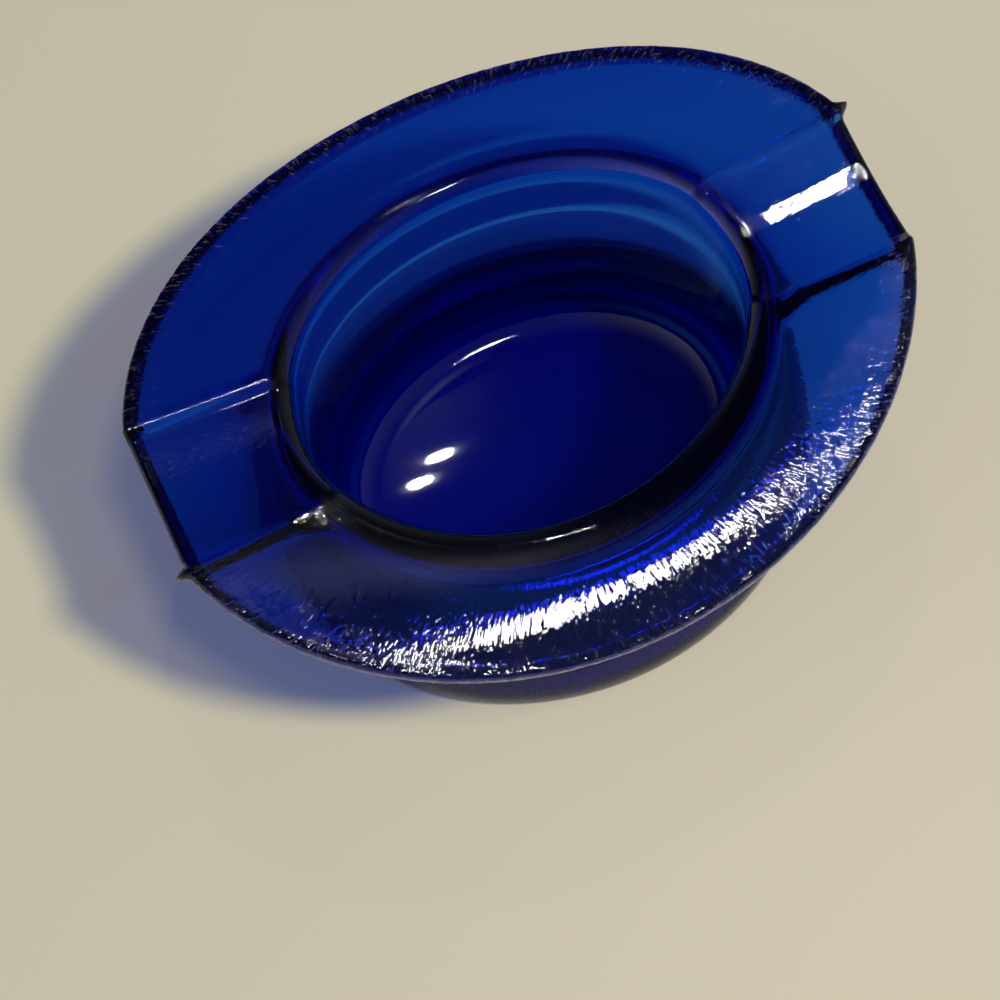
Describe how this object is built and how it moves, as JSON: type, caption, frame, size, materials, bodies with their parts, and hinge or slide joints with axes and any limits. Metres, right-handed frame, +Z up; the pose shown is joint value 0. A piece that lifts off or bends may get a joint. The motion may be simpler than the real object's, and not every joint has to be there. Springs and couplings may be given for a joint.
{
  "type": "glass hat ashtray",
  "caption": "Pressed cobalt-blue glass ashtray shaped like an upturned hat, with an oval bowl, a rolled saddle brim and cigarette rests at the ends.",
  "frame": {"origin": "centre of the foot, on the surface that the ashtray stands on", "axes": "+X through the two rests, along the brim's length, +Y across the brim, +Z up out of the bowl"},
  "size_m": [0.0872, 0.0718, 0.0441],
  "materials": {
    "cobalt_glass": "fire-polished cobalt-blue pressed glass, smooth inside the bowl and finely stippled on the rolled brim"
  },
  "bodies": {
    "root": {"crown_base": "cobalt_glass", "crown_wall": "cobalt_glass", "hat_band": "cobalt_glass", "brim_front": "cobalt_glass", "brim_back": "cobalt_glass", "rest_left": "cobalt_glass", "rest_right": "cobalt_glass"}
  },
  "joints": []
}
